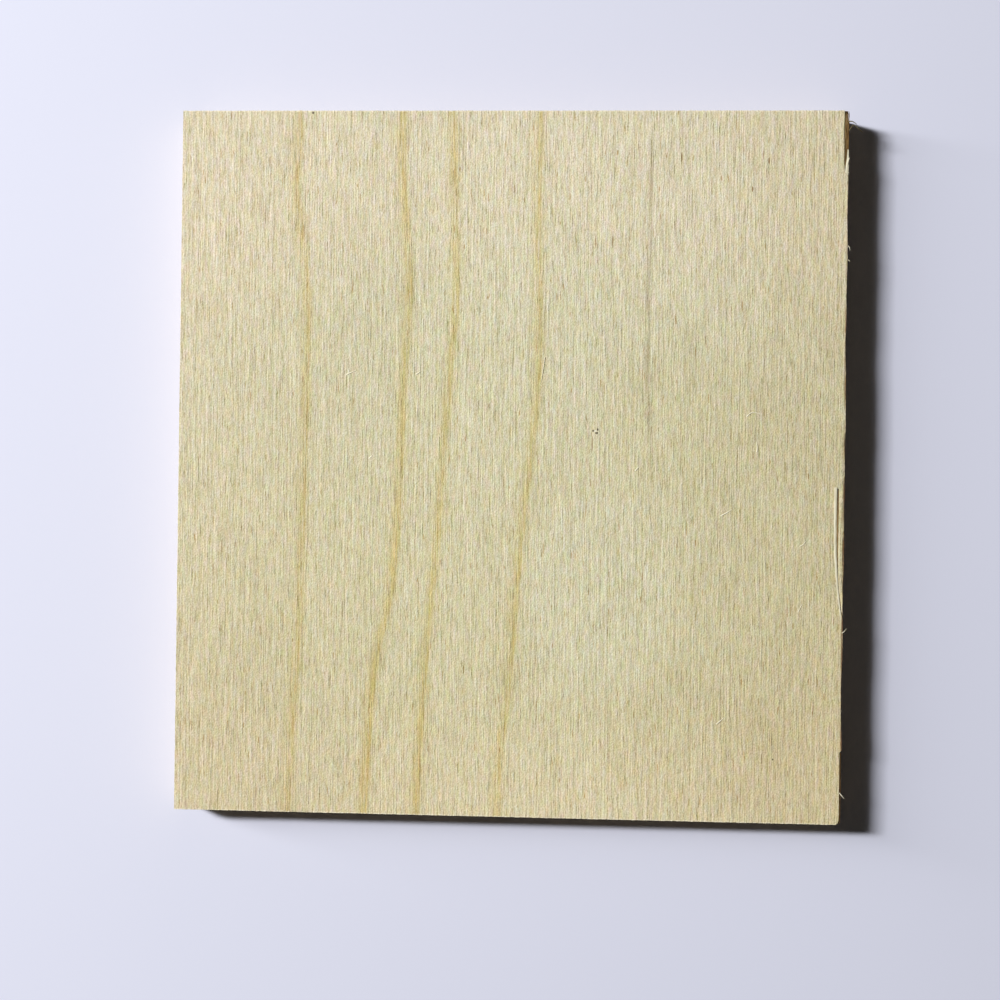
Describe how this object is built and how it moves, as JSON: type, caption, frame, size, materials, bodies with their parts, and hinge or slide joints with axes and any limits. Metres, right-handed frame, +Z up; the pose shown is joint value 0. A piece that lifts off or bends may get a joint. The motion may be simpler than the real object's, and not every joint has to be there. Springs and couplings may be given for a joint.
{
  "type": "plywood sheet",
  "caption": "Small square-cut offcut of birch plywood, lying flat, with its face grain along the longer side and a splintered sawn edge.",
  "frame": {"origin": "under the middle of the sheet, on the surface that it lies on", "axes": "+X across the face grain towards the splintered edge, +Y along the face grain, +Z up out of the face veneer"},
  "size_m": [0.15, 0.159, 0.012],
  "materials": {
    "face_birch": "sanded, unfinished pale birch, grain along Y",
    "long_grain_birch": "sawn edge of an unfinished birch ply, grain along Y",
    "cross_grain_birch": "sawn edge of an unfinished birch ply, grain along X, browned by glue"
  },
  "bodies": {
    "root": {"face_veneer": "face_birch", "crossband_2": "cross_grain_birch", "long_ply_3": "long_grain_birch", "crossband_4": "cross_grain_birch", "long_ply_5": "long_grain_birch", "crossband_6": "cross_grain_birch", "long_ply_7": "long_grain_birch", "crossband_8": "cross_grain_birch", "back_veneer": "face_birch"}
  },
  "joints": []
}
